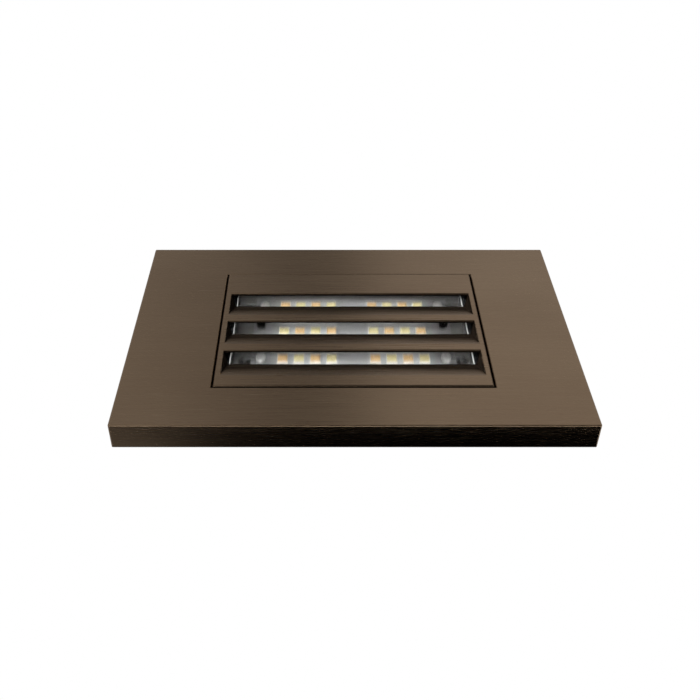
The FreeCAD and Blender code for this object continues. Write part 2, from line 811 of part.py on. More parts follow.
def lead_grommets():
    """Rubber bushes in the floor, each with a lip in front."""
    rings = []
    for index, (x, z) in enumerate(lead_places(), start=1):
        tube = cylinder(f"grommet_tube_{index}", "grommet_radius", ("floor_front", "floor_back"), x, z)
        lip = cylinder(f"grommet_lip_{index}", "grommet_radius + grommet_lip",
                       ("floor_front - grommet_lip", "floor_front"), x, z)
        bore = cylinder(f"grommet_bore_{index}", "lead_radius + screw_clearance",
                        ("floor_front - grommet_lip", "floor_back"), x, z)
        rings.append(cut(f"grommet_{index}", fuse(f"grommet_blank_{index}", tube, lip), bore))
    return group("lead_grommets", *rings)


# ---- housing, yoke and wall gasket ----

def rear_hollow(body, name, level, depth, towards_wall):
    """A rectangle that leaves a solid block in each corner for the cover's screws."""
    wide = new_sketch(body, name + "_wide", level=level)
    rectangle(wide, middle("rear_width"), middle("rear_height - 2 * corner_block"))
    pocket(body, wide, depth, towards_wall)
    tall = new_sketch(body, name + "_tall", level=level)
    rectangle(tall, middle("rear_width - 2 * corner_block"), middle("rear_height"))
    pocket(body, tall, depth, towards_wall)


def housing():
    """Cast box with a front flange, a lens pocket, and a floor between the light and the driver."""
    body = new_body("housing")
    block = new_sketch(body, "housing_block", level="housing_back")
    rectangle(block, middle("housing_width"), middle("housing_height"))
    pad(body, block, "housing_back - panel_back")
    soften(body, "Fillet", "housing_corner", long_edges(sizes.housing_rear_depth))
    flange = new_sketch(body, "housing_flange", level="yoke_front")
    rectangle(flange, middle("flange_width"), middle("flange_height"))
    pad(body, flange, "yoke_front - panel_back")
    lens_pocket = new_sketch(body, "lens_pocket", level="panel_back")
    rectangle(lens_pocket, middle("pocket_width"), middle("pocket_height"))
    pocket(body, lens_pocket, "ledge_front - panel_back")
    cavity = new_sketch(body, "light_cavity", level="ledge_front")
    rectangle(cavity, middle("cavity_width"), middle("cavity_height"))
    pocket(body, cavity, "floor_front - ledge_front")
    rear_hollow(body, "driver_cavity", "housing_back", "housing_back - floor_back", towards_wall=False)
    posts = new_sketch(body, "driver_posts", level="floor_back")
    circles(posts, "standoff_radius", "driver_screw_spacing_x", "driver_screw_spacing_z")
    pad(body, posts, "standoff_height", towards_wall=True)
    post_holes = new_sketch(body, "driver_post_holes", level="driver_front")
    circles(post_holes, "driver_screw_radius + screw_clearance",
            "driver_screw_spacing_x", "driver_screw_spacing_z")
    pocket(body, post_holes, "standoff_height", towards_wall=False)
    cover_holes = new_sketch(body, "cover_screw_holes", level="housing_back")
    circles(cover_holes, "cover_screw_radius + screw_clearance",
            "cover_screw_spacing_x", "cover_screw_spacing_z")
    pocket(body, cover_holes, "cover_screw_length + cover_screw_end_gap", towards_wall=False)
    board_holes = new_sketch(body, "board_screw_holes", level="floor_front")
    for side in SIDES:
        circle(board_holes, "board_screw_radius + screw_clearance",
               f"board_x + {side} * board_screw_spacing / 2", "board_screw_z")
    pocket(body, board_holes, "board_screw_length")
    lead_holes = new_sketch(body, "lead_holes", level="floor_front")
    for x, z in lead_places():
        circle(lead_holes, "grommet_radius", x, z)
    pocket(body, lead_holes, "floor_thickness")
    clamp_holes(body, "panel_back", "yoke_front", with_head=True)
    return body


def box_slots(name, y, extra=0):
    """The two slots for the wall box's screws, each as a solid to cut with."""
    tools = []
    for side in SIDES:
        x = f"{side} * box_screw_spacing / 2"
        reach = "box_slot_length - box_slot_width"
        flat = box(f"{name}_flat_{side}", middle(reach, x), y, middle(f"box_slot_width + 2 * ({extra})"))
        ends = [cylinder(f"{name}_end_{side}_{end}", f"box_slot_width / 2 + ({extra})", y,
                         f"{x} + {end} * ({reach}) / 2") for end in SIDES]
        tools.append(fuse(f"{name}_{side}", flat, *ends))
    return tools


def mounting_yoke():
    """Steel frame round the housing; the wall box's screws and the plate's magnets hold on to it."""
    y = ("yoke_front", "yoke_back")
    sheet = rounded_sheet("yoke_sheet", "yoke_width", "yoke_height", "yoke_corner", y)
    window = box("yoke_window", middle("housing_width + 2 * yoke_clearance"), y,
                 middle("housing_height + 2 * yoke_clearance"))

    def thread(number, x, z):
        return cylinder(f"yoke_thread_{number}", "clamp_screw_radius + screw_clearance", y, x, z)

    threads = four_corners(thread, "clamp_spacing_x", "clamp_spacing_z")
    return cut("mounting_yoke", sheet, window, *threads, *box_slots("yoke_slot", y))


def rounded_sheet(name, width, height, corner, y):
    """A flat sheet with round corners: two crossed blocks and four corner discs."""
    wide = box(name + "_wide", middle(width), y, middle(f"({height}) - 2 * ({corner})"))
    tall = box(name + "_tall", middle(f"({width}) - 2 * ({corner})"), y, middle(height))

    def disc(number, x, z):
        return cylinder(f"{name}_corner_{number}", corner, y, x, z)

    discs = four_corners(disc, f"({width}) - 2 * ({corner})", f"({height}) - 2 * ({corner})")
    return fuse(name, wide, tall, *discs)


def wall_gasket():
    """Foam frame between the yoke and the wall."""
    y = ("yoke_back", "0")
    sheet = rounded_sheet("wall_gasket_sheet", "yoke_width - 2 * wall_gasket_inset",
                          "yoke_height - 2 * wall_gasket_inset", "yoke_corner - wall_gasket_inset", y)
    window = box("wall_gasket_window", middle("housing_width + 2 * wall_gasket_clearance"), y,
                 middle("housing_height + 2 * wall_gasket_clearance"))
    return cut("wall_gasket", sheet, window, *box_slots("wall_gasket_slot", y, "yoke_clearance"))


# ---- driver ----

def driver_board():
    """Circuit board on four posts behind the floor."""
    y = ("driver_front", "driver_back")
    sheet = box("driver_sheet", middle("driver_width"), y, middle("driver_height"))

    def hole(number, x, z):
        return cylinder(f"driver_hole_{number}", "driver_screw_radius + screw_clearance", y, x, z)

    return cut("driver_board", sheet, *four_corners(hole, "driver_screw_spacing_x", "driver_screw_spacing_z"))


def driver_screws():
    """Small pan-head screws through the driver board into the posts."""
    def screw(number, x, z):
        head_top = "driver_back + driver_head_height"
        head = cylinder(f"driver_head_{number}", "driver_head_radius", ("driver_back", head_top), x, z)
        shank = cylinder(f"driver_shank_{number}", "driver_screw_radius",
                         ("driver_back - driver_screw_length", "driver_back"), x, z)
        drive = cross_recess(f"driver_drive_{number}", "driver_head_radius", head_top, -1, x, z)
        return cut(f"driver_screw_{number}", fuse(f"driver_blank_{number}", head, shank), *drive)
    return group("driver_screws", *four_corners(screw, "driver_screw_spacing_x", "driver_screw_spacing_z"))


def driver_inductor():
    """Wound drum: two flanges and a fat winding between them."""
    x, z = "inductor_x", "inductor_z"
    top = "driver_back + inductor_height"
    flange_top = "driver_back + inductor_flange"
    base = cylinder("inductor_base", "inductor_radius", ("driver_back", flange_top), x, z)
    core = "inductor_radius - inductor_winding_depth"
    winding = cylinder("inductor_winding", core, ("driver_back", top), x, z)
    cap = cylinder("inductor_cap", "inductor_radius", (f"{top} - inductor_flange", top), x, z)
    return fuse("driver_inductor", base, winding, cap)


def driver_capacitors():
    """Two standing electrolytic cans with a pressed groove near the foot."""
    cans = []
    for side in SIDES:
        x, z = "capacitor_x", f"{side} * capacitor_pitch / 2"
        foot = "driver_back + capacitor_foot"
        neck = f"{foot} + capacitor_groove_width"
        low = cylinder(f"can_low_{side}", "capacitor_radius", ("driver_back", foot), x, z)
        top = "driver_back + capacitor_height"
        waist = "capacitor_radius - capacitor_groove_depth"
        groove = cylinder(f"can_groove_{side}", waist, (foot, neck), x, z)
        high = cylinder(f"can_high_{side}", "capacitor_radius", (neck, top), x, z)
        cans.append(fuse(f"can_{side}", low, groove, high))
    return group("driver_capacitors", *cans)


def driver_chips():
    """The rectifier above and the two regulators below, one for each set of chips."""
    chips = []
    for index, (column, row) in enumerate(((0, 1), (0, -1), (1, -1))):
        x = f"chip_x + {column} * chip_pitch"
        y = ("driver_back", "driver_back + chip_height")
        z = middle("chip_width", f"{row} * chip_z")
        chips.append(box(f"driver_chip_{index}", middle("chip_length", x), y, z))
    return group("driver_chips", *chips)


def supply_terminal():
    """Two-way screw terminal for the supply wires, with a wire entry and a screw well for each."""
    x, top = "terminal_block_x", "driver_back + terminal_block_height"
    block = box("supply_block", middle("terminal_block_width", x), ("driver_back", top),
                middle("terminal_block_length"))
    wells = []
    for side in SIDES:
        z = f"{side} * wire_pitch / 2"
        well = (f"{top} - wire_well_depth", top)
        wells.append(cylinder(f"supply_well_{side}", "wire_well_radius", well, x, z))
        mouth = f"{x} + terminal_block_width / 2"
        foot = "driver_back + wire_entry_foot"
        wells.append(box(f"supply_entry_{side}", (f"{mouth} - wire_entry_depth", mouth),
                         (foot, f"{foot} + wire_entry_height"), middle("wire_entry_width", z)))
    return cut("supply_terminal", block, *wells)


# ---- colour selector ----

def selector_switch():
    """Case of the slide switch under the rear cover, open where the knob comes out."""
    case = box("selector_case", middle("selector_length", "selector_x"), ("selector_front", "dome_ceiling"),
               middle("selector_width"))
    well = box("selector_case_well", middle("selector_slot", "selector_x"), ("well_floor", "dome_ceiling"),
               middle("knob_width + 2 * knob_clearance"))
    return cut("selector_switch", case, well)


def selector_knob():
    """Slider with three ridges across its top; it moves along the cover's slot."""
    top = "dome_back + knob_proud"
    bar = box("knob_bar", middle("knob_length", "selector_x"), ("knob_foot", top), middle("knob_width"))
    grooves = []
    for side in SIDES:
        x = f"selector_x + {side} * knob_groove_pitch / 2"
        grooves.append(box(f"knob_groove_{side}", middle("knob_groove_width", x),
                           (f"{top} - knob_groove_depth", top), middle("knob_width")))
    return cut("selector_knob", bar, *grooves)


# ---- rear cover ----

def rear_cover():
    """Cover with a raised box for the tall parts, ribs beside it, and openings for the gland and selector."""
    body = new_body("rear_cover")
    sheet = new_sketch(body, "cover_sheet", level="cover_back")
    rectangle(sheet, middle("housing_width"), middle("housing_height"))
    pad(body, sheet, "cover_thickness")
    soften(body, "Fillet", "housing_corner", long_edges(sizes.cover_thickness - NEAR))
    dome = new_sketch(body, "cover_dome", level="dome_back")
    rectangle(dome, middle("dome_width"), middle("dome_height"))
    pad(body, dome, "dome_depth")
    soften(body, "Fillet", "dome_corner", long_edges(sizes.dome_depth - NEAR))
    dome_back = number("dome_back")
    soften(body, "Fillet", "dome_round", lambda bound: bound.YMin > dome_back - NEAR)
    hollow = new_sketch(body, "cover_hollow", level="cover_front")
    rectangle(hollow, middle("dome_width - 2 * dome_wall"), middle("dome_height - 2 * dome_wall"))
    pocket(body, hollow, "dome_ceiling - cover_front")
    ribs = []
    for side in SIDES:
        rib = new_sketch(body, "rib_above" if side > 0 else "rib_below", role=SIDE_PLANE,
                         level="-rib_pitch * (rib_count - 1) / 2")
        root = f"{side} * (dome_height / 2 - dome_wall / 2)"
        foot = f"{side} * (dome_height / 2 + rib_foot)"
        polygon(rib, [("cover_back", root), ("cover_back", foot), ("cover_back + rib_lip", foot),
                      ("cover_back + rib_height", root)])
        ribs.append(pad(body, rib, "rib_thickness", centred=True))
    repeat_along(body, ribs, "X_Axis", "rib_pitch * (rib_count - 1)", "rib_count", "ribs")
    screw_holes = new_sketch(body, "cover_holes", level="cover_front")
    circles(screw_holes, "cover_screw_radius + screw_clearance",
            "cover_screw_spacing_x", "cover_screw_spacing_z")
    pocket(body, screw_holes, "cover_thickness")
    gland_hole = new_sketch(body, "gland_hole", level="dome_ceiling")
    circle(gland_hole, "gland_thread_radius + gland_clearance", "gland_x")
    pocket(body, gland_hole, "dome_wall")
    slot = new_sketch(body, "selector_opening", level="dome_ceiling")
    rectangle(slot, middle("selector_slot", "selector_x"), middle("knob_width + 2 * knob_clearance"))
    pocket(body, slot, "dome_wall")
    return body


def cover_gasket():
    """Seal between the housing and the rear cover, with a pad round each screw."""
    y = ("housing_back", "cover_front")
    sheet = box("cover_gasket_sheet", middle("housing_width - 2 * cover_gasket_inset"), y,
                middle("housing_height - 2 * cover_gasket_inset"))
    wide = box("cover_gasket_wide", middle("rear_width"), y, middle("rear_height - 2 * corner_block"))
    tall = box("cover_gasket_tall", middle("rear_width - 2 * corner_block"), y, middle("rear_height"))

    def hole(number, x, z):
        return cylinder(f"cover_gasket_hole_{number}", "cover_screw_radius + screw_clearance", y, x, z)

    holes = four_corners(hole, "cover_screw_spacing_x", "cover_screw_spacing_z")
    return cut("cover_gasket", sheet, wide, tall, *holes)


def cover_screws():
    """Pan-head screws through the cover and its seal into the housing's corners."""
    def screw(number, x, z):
        head_top = "cover_back + cover_head_height"
        head = cylinder(f"cover_head_{number}", "cover_head_radius", ("cover_back", head_top), x, z)
        shank = cylinder(f"cover_shank_{number}", "cover_screw_radius",
                         ("housing_back - cover_screw_length", "cover_back"), x, z)
        drive = cross_recess(f"cover_drive_{number}", "cover_head_radius", head_top, -1, x, z)
        return cut(f"cover_screw_{number}", fuse(f"cover_blank_{number}", head, shank), *drive)
    return group("cover_screws", *four_corners(screw, "cover_screw_spacing_x", "cover_screw_spacing_z"))


# ---- cable gland ----

def gland_body():
    """Threaded stub through the cover with a hexagon outside it and a neck for the nut."""
    stub = cylinder("gland_stub", "gland_thread_radius", ("gland_inner_end", "dome_back"), "gland_x")
    hexagonal = hexagon("gland_hexagon", "gland_hex_across", ("dome_back", "gland_face"), "gland_x")
    neck = cylinder("gland_neck", "gland_neck_radius", ("gland_face", "gland_neck_end"), "gland_x")
    bore = cylinder("gland_bore", "gland_bore_radius", ("gland_inner_end", "gland_neck_end"), "gland_x")
    return cut("gland_body", fuse("gland_blank", stub, hexagonal, neck), bore)


def gland_locknut():
    """Thin hexagonal nut on the stub, inside the cover."""
    y = ("dome_ceiling - locknut_height", "dome_ceiling")
    ring = hexagon("locknut_hexagon", "locknut_across", y, "gland_x")
    bore = cylinder("locknut_bore", "gland_thread_radius + gland_clearance", y, "gland_x")
    return cut("gland_locknut", ring, bore)


def gland_seal():
    """Rubber sleeve in the gland's mouth; a cable would pass through it."""
    y = ("gland_face", "gland_neck_end")
    outside = "gland_bore_radius - gland_seal_clearance"
    outer = cylinder("gland_seal_outer", outside, y, "gland_x")
    bore = cylinder("gland_seal_bore", f"{outside} - gland_seal_wall", y, "gland_x")
    return cut("gland_seal", outer, bore)


def gland_nut():
    """Compression nut: a hexagon that turns into a tapered nose with an open bore."""
    grip = "gland_face + gland_clearance"
    shoulder = f"{grip} + gland_nut_grip"
    hexagonal = hexagon("nut_hexagon", "gland_nut_across", (grip, shoulder), "gland_x")
    nose = cone("nut_nose", "gland_neck_radius + gland_nut_wall", "gland_nose_radius",
                (shoulder, "gland_nut_end"), "gland_x")
    well = cylinder("nut_well", "gland_neck_radius + gland_clearance",
                    (grip, "gland_neck_end + gland_clearance"), "gland_x")
    mouth = cylinder("nut_mouth", "gland_mouth_radius", (grip, "gland_nut_end"), "gland_x")
    return cut("gland_nut", fuse("nut_blank", hexagonal, nose), well, mouth)


def check_document():
    """Stops if any object of the document is in error."""
    bad = [item.Name for item in doc.Objects if {"Invalid", "Error"} & set(item.State)]
    if bad:
        raise RuntimeError("failed objects: " + ", ".join(bad))


def write_node(name, piece):
    """Checks one node's solids and writes them to its file."""
    shape = piece.Shape
    if shape.isNull() or not shape.isValid() or not shape.Solids:
        raise RuntimeError(f"{name} has no valid solid")
    shape.exportStep(os.path.join("parts", name + ".step"))
    box_size = shape.BoundBox
    print(f"{name}: {len(shape.Solids)} solids, {shape.Volume:.1f} mm3,"
          f" x {box_size.XMin:.2f}..{box_size.XMax:.2f} y {box_size.YMin:.2f}..{box_size.YMax:.2f}"
          f" z {box_size.ZMin:.2f}..{box_size.ZMax:.2f}")


sizes = fill_sheet()
nodes = {
    "face_plate": face_plate(),
    "plate_magnets": plate_magnets(),
    "louver_panel": louver_panel(),
    "panel_screws": panel_screws(),
    "lens": lens(),
    "lens_gasket": lens_gasket(),
    "led_board": led_board(),
    "warm_leds": led_chips("warm_leds", 0),
    "cool_leds": led_chips("cool_leds", 1),
    "board_screws": board_screws(),
    "board_terminals": board_terminals(),
    "board_leads": board_leads(),
    "lead_grommets": lead_grommets(),
    "thermal_pad": thermal_pad(),
    "housing": housing(),
    "mounting_yoke": mounting_yoke(),
    "wall_gasket": wall_gasket(),
    "driver_board": driver_board(),
    "driver_screws": driver_screws(),
    "driver_inductor": driver_inductor(),
    "driver_capacitors": driver_capacitors(),
    "driver_chips": driver_chips(),
    "supply_terminal": supply_terminal(),
    "selector_switch": selector_switch(),
    "selector_knob": selector_knob(),
    "cover_gasket": cover_gasket(),
    "rear_cover": rear_cover(),
    "cover_screws": cover_screws(),
    "gland_body": gland_body(),
    "gland_locknut": gland_locknut(),
    "gland_seal": gland_seal(),
    "gland_nut": gland_nut(),
}
doc.recompute()
check_document()
os.makedirs("parts", exist_ok=True)
for node_name, node_piece in nodes.items():
    write_node(node_name, node_piece)
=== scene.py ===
"""Looks of a louvred step light: brushed bronze face, frosted lens over a white board, cast parts behind.

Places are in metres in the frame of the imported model: Z up, the face towards -Y, the wall at Y = 0.
"""

import math

import bmesh
import bpy
from mathutils import Matrix, Vector


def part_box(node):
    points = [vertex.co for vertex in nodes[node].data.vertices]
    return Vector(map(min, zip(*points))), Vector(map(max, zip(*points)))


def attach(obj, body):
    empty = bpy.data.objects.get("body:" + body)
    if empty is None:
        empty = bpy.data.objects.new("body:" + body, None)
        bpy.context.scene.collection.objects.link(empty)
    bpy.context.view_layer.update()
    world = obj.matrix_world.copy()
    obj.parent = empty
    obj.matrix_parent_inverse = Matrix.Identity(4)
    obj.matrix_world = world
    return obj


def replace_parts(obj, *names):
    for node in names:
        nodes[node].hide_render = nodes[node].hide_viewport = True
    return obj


MM = 0.001

# The photograph's camera: it stands in front of the light and below it, and looks up at the face.
CAMERA_PLACE = Vector((-7.0, -149.3, -190.0)) * MM
CAMERA_AIM = Vector((0.0, 0.6204, 0.7843))
CAMERA_LENS = 46.3      # like the sensor's width, in millimetres
CAMERA_SENSOR = 36.0
CAMERA_SHIFT = 0.0363   # share of the sensor's width
CAMERA_NEAR = 10.0 * MM

FLOOR_LEVEL = -0.30
FLOOR_SIZE = 5.0

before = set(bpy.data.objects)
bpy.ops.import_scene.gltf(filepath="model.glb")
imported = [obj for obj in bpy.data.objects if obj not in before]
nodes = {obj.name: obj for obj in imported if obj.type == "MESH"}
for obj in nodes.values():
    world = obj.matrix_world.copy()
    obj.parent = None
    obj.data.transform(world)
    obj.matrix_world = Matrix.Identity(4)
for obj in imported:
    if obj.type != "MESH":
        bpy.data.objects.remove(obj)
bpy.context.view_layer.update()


# ---- sums and nodes of a material ----

class Number:
    """What a node gives, so that sums on it are written as plain maths."""

    def __init__(self, shop, socket):
        self.shop = shop
        self.socket = socket

    def sum(self, operation, first, second=0.0):
        return self.shop.node("Math", {"operation": operation}, {0: first, 1: second})

    def __add__(self, other):
        return self.sum("ADD", self, other)

    def __sub__(self, other):
        return self.sum("SUBTRACT", self, other)

    def __rsub__(self, other):
        return self.sum("SUBTRACT", other, self)

    def __mul__(self, other):
        return self.sum("MULTIPLY", self, other)

    def __abs__(self):
        return self.sum("ABSOLUTE", self)

    __radd__ = __add__
    __rmul__ = __mul__

    def rise(self, low, high, start=0.0, end=1.0):
        """A smooth step from start to end while the value goes from low to high."""
        return self.shop.node("MapRange", {"interpolation_type": "SMOOTHSTEP"}, {
            "Value": self, "From Min": low, "From Max": high, "To Min": start, "To Max": end})


class Shop:
    """The nodes of one material, or of the world."""

    def __init__(self, owner):
        owner.use_nodes = True
        self.owner = owner
        self.tree = owner.node_tree
        self.tree.nodes.clear()

    def node(self, kind, settings=None, inputs=None, output=0):
        """Adds a node: first its settings, then the values or links of its sockets."""
        made = self.tree.nodes.new("ShaderNode" + kind)
        for name, value in (settings or {}).items():
            if name == "stops":
                self.set_stops(made.color_ramp, value)
            else:
                setattr(made, name, value)
        for name, value in (inputs or {}).items():
            self.feed(made.inputs[name], value)
        return Number(self, made.outputs[output])

    def feed(self, socket, value):
        if isinstance(value, Number):
            self.tree.links.new(value.socket, socket)
        elif socket.type == "RGBA":
            socket.default_value = (*value, 1.0)
        else:
            socket.default_value = value

    @staticmethod
    def set_stops(ramp, stops):
        """Grey stops of a ramp: pairs of a place and a level."""
        ramp.interpolation = "EASE"
        while len(ramp.elements) < len(stops):
            ramp.elements.new(1.0)
        for element, (place, level) in zip(ramp.elements, stops):
            element.position = place
            element.color = (level, level, level, 1.0)

    def place(self, scale=(1, 1, 1)):
        """The place on the object in millimetres, stretched by a scale."""
        metres = self.node("TexCoord", output="Object")
        per_metre = [factor / MM for factor in scale]
        return self.node("Mapping", {"vector_type": "POINT"}, {"Vector": metres, "Scale": per_metre})

    def axis(self, letter):
        """One coordinate of the place on the object, in millimetres."""
        return self.node("SeparateXYZ", inputs={"Vector": self.place()}, output=letter)

    def wave(self, kind, angle):
        """The sine or cosine of an angle in radians."""
        return self.node("Math", {"operation": kind}, {0: angle})

    def cloud(self, size, stretch=(1, 1, 1), detail=3.0, seed=0.0):
        """Noise about 0.5 whose spots are about as large as size, in millimetres, times the stretch."""
        scale = [1.0 / (size * factor) for factor in stretch]
        return self.node("TexNoise", {"noise_dimensions": "4D"},
                         {"Vector": self.place(scale), "W": seed, "Scale": 1.0, "Detail": detail}, "Fac")

    def cells(self, size, feature="F1", seed=0.0):
        """Distance to the nearest of scattered points that lie about size apart."""
        scale = [1.0 / size] * 3
        return self.node("TexVoronoi", {"voronoi_dimensions": "4D", "feature": feature},
                         {"Vector": self.place(scale), "W": seed, "Scale": 1.0}, "Distance")

    def mix(self, share, first, second):
        """A colour between two colours."""
        return self.node("Mix", {"data_type": "RGBA"}, {0: share, 6: first, 7: second}, 2)

    def relief(self, height, depth, edge=0.0):
        """A normal that follows a height from 0 to 1. Depth and edge radius are in millimetres."""
        inputs = {"Height": height, "Distance": depth * MM, "Strength": 1.0}
        if edge:
            inputs["Normal"] = self.node("Bevel", {"samples": 6}, {"Radius": edge * MM})
        return self.node("Bump", inputs=inputs)

    def shader(self, **sockets):
        """A principled shader; an underscore in a socket's name stands for a space."""
        inputs = {name.replace("_", " "): value for name, value in sockets.items()}
        return self.node("BsdfPrincipled", inputs=inputs, output="BSDF")

    def surface(self, **sockets):
        """Ends the material with one principled shader."""
        self.end(self.shader(**sockets))
        return self.owner

    def end(self, shader, kind="OutputMaterial"):
        ending = self.tree.nodes.new("ShaderNode" + kind)
        self.tree.links.new(shader.socket, ending.inputs["Surface"])


def new_material(name):
    return Shop(bpy.data.materials.new(name))


# ---- finishes ----

# Depths are in millimetres behind the panel's face. Each tuple says from which depth to which, and from
# which share of clean metal to which; the rest of the metal there is painted shade.
LIP_SHADE = (0.1, 0.6, 1.0, 0.84)
WELL_SHADE = (0.6, 2.5, 1.0, 0.0)
SIDE_SHADE = (0.15, 0.5, 1.0, 0.05)


def brushed_bronze(name, seed, windows=False):
    """Dark bronze, brushed along X where it faces the front: streaks, cloudy patina, a few light hairlines.

    The brush doesn't reach into windows: near-black painted shade covers their walls, and the blades with
    depth.
    """
    shop = new_material(name)
    hair = shop.cloud(0.16, (90, 1, 1), 4.0, seed)
    strand = shop.cloud(0.5, (45, 1, 1), 3.0, seed + 3.1)
    patina = shop.cloud(26.0, (1.6, 1, 1), 2.0, seed + 7.7)
    scratch = shop.cloud(0.28, (60, 1, 1), 2.0, seed + 11.3).rise(0.66, 0.74)
    scratch = scratch * shop.cloud(14.0, seed=seed + 5).rise(0.5, 0.62)
    tone = (hair * 0.38 + strand * 0.22 + patina * 0.55).rise(0.39, 0.79)
    dark = shop.mix(tone, (0.228, 0.157, 0.101), (0.272, 0.192, 0.125))
    colour = shop.mix(scratch * 0.5, dark, (0.42, 0.33, 0.23))
    facing = shop.node("TexCoord", output="Normal")
    relief = shop.relief(hair * 0.7 + strand * 0.3, 0.0065, 0.08)
    face = shop.shader(
        Base_Color=colour, Metallic=1.0, Roughness=hair.rise(0.3, 0.7, 0.26, 0.33),
        Anisotropic=0.75, Anisotropic_Rotation=0.25, Normal=relief)
    rim = shop.shader(
        Base_Color=colour, Metallic=1.0, Roughness=hair.rise(0.3, 0.7, 0.25, 0.29),
        Normal=shop.relief(strand, 0.001, 0.08))
    frontal = abs(shop.node("SeparateXYZ", inputs={"Vector": facing}, output="Y")).rise(0.6, 0.9)
    metal = shop.node("MixShader", inputs={0: frontal, 1: rim, 2: face})
    if windows:
        # painted shade: the panel's metal fades to near black deeper in the windows and on their side walls,
        # where shadow falls
        depth = shop.axis("Y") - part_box("louver_panel")[0].y / MM
        clear = depth.rise(*LIP_SHADE) * depth.rise(*WELL_SHADE)
        clear = clear * (1 - (1 - frontal) * (1 - depth.rise(*SIDE_SHADE)))
        painted_shade_coat = shop.shader(
            Base_Color=shop.mix(strand, (0.0025, 0.0018, 0.0012), (0.005, 0.0035, 0.0025)), Roughness=0.85,
            Specular_IOR_Level=0.0, Normal=relief)
        metal = shop.node("MixShader", inputs={0: clear, 1: painted_shade_coat, 2: metal})
    shop.end(metal)
    return shop.owner


def cast_metal(name, colour, seed):
    """Powder coat over a casting: orange-peel texture, pale specks, uneven tone and round edges."""
    shop = new_material(name)
    peel = shop.cells(0.55, "SMOOTH_F1", seed)
    speck = shop.cells(0.35, seed=seed + 2).rise(0.12, 0.2)
    wear = shop.cloud(9.0, seed=seed + 4).rise(0.35, 0.75)
    rough = shop.cloud(1.3, seed=seed + 6)
    pale = [min(1.0, part * 1.35 + 0.02) for part in colour]
    deep = [part * 0.8 for part in colour]
    base = shop.mix(wear, deep, colour)
    return shop.surface(
        Base_Color=shop.mix((1 - speck) * 0.5, base, pale), Metallic=0.15,
        Roughness=rough.rise(0.3, 0.7, 0.46, 0.62), Specular_IOR_Level=0.45,
        Normal=shop.relief(peel, 0.05, 0.35))


def plain_metal(name, colour, seed, roughness=0.3):
    """Plated or turned metal with a fine grain and faint stains."""
    shop = new_material(name)
    fine = shop.cloud(0.6, detail=4.0, seed=seed)
    stain = shop.cloud(7.0, seed=seed + 5).rise(0.35, 0.7)
    deep = [part * 0.78 for part in colour]
    return shop.surface(
        Base_Color=shop.mix(stain, deep, colour), Metallic=1.0,
        Roughness=fine.rise(0.3, 0.7, roughness * 0.8, roughness * 1.25),
        Normal=shop.relief(fine, 0.01, 0.15))


def zinc_plate():
    """Zinc-plated sheet steel: dull crystals of slightly different brightness and a rolled grain."""
    shop = new_material("zinc_plate")
    crystal = shop.node("TexVoronoi", {"feature": "F1"},
                        {"Vector": shop.place([0.35] * 3), "Scale": 1.0}, "Color")
    tone = shop.node("SeparateXYZ", inputs={"Vector": crystal}, output="X")
    grain = shop.cloud(0.3, (14, 1, 1), 3.0, 1.0)
    colour = shop.mix(tone * 0.6 + grain * 0.4, (0.46, 0.47, 0.48), (0.66, 0.67, 0.68))
    return shop.surface(
        Base_Color=colour, Metallic=1.0, Roughness=(tone + grain).rise(0.5, 1.5, 0.30, 0.46),
        Normal=shop.relief(grain, 0.012, 0.2))


TONE_SPREAD = 0.12


def plastic(name, colour, seed, roughness=0.45, texture=0.4, depth=0.02, edge=0.2):
    """Moulded plastic or rubber with a fine eroded texture and uneven tone."""
    shop = new_material(name)
    grain = shop.cloud(texture, detail=4.0, seed=seed)
    tone = shop.cloud(6.0, seed=seed + 3)
    low = [part * (1 - TONE_SPREAD) for part in colour]
    high = [min(1.0, part * (1 + TONE_SPREAD)) for part in colour]
    return shop.surface(
        Base_Color=shop.mix(tone.rise(0.3, 0.7), low, high),
        Roughness=grain.rise(0.3, 0.7, roughness - 0.07, roughness + 0.08),
        Normal=shop.relief(grain, depth, edge))


def solder(name):
    """Dull tin solder, still pale with flux."""
    shop = new_material(name)
    flux = shop.cloud(0.8, seed=2.0)
    fine = shop.cloud(0.12, seed=6.0)
    return shop.surface(
        Base_Color=shop.mix(flux.rise(0.3, 0.7), (0.46, 0.455, 0.44), (0.60, 0.595, 0.575)), Metallic=0.35,
        Roughness=fine.rise(0.3, 0.7, 0.34, 0.46), Normal=shop.relief(flux, 0.03))


def closed_foam():
    """Black closed-cell foam, pitted and uneven in tone."""
    shop = new_material("closed_foam")
    cell = shop.cells(0.45, "SMOOTH_F1", 2.0)
    fleck = shop.cloud(0.9, seed=4.0)
    return shop.surface(
        Base_Color=shop.mix(fleck.rise(0.35, 0.7), (0.012, 0.012, 0.013), (0.035, 0.035, 0.037)),
        Roughness=fleck.rise(0.3, 0.7, 0.78, 0.92), Normal=shop.relief(cell, 0.12))


LENS_IOR = 1.1


def frosted_lens():
    """Clear pane with a light frost that hazes what lies behind it.

    It hardly bends light, because the places behind it were measured along straight sight lines.
    """
    shop = new_material("frosted_lens")
    frost = shop.cloud(0.22, detail=3.0, seed=3.0)
    smear = shop.cloud(5.0, (2.2, 1, 1), 3.0, 8.0)
    haze = (frost * 0.3 + smear * 0.7).rise(0.3, 0.7, 0.40, 0.50)
    return shop.surface(
        Base_Color=shop.mix(smear, (0.90, 0.92, 0.94), (0.97, 0.97, 0.97)), Alpha=haze,
        Transmission_Weight=1.0, IOR=LENS_IOR,
        Roughness=frost.rise(0.3, 0.7, 0.22, 0.27), Normal=shop.relief(frost, 0.01))


CHIP_GROUP_START = 4.4      # millimetres from the board's middle
CHIP_ROW_PITCH = 11.87      # millimetres
BOARD_TRACK_RATE = 1.06     # radians for each millimetre
DRIVER_TRACK_RATE = 1.9     # radians for each millimetre
DRIVER_TRACK_BEND = 9.0     # radians


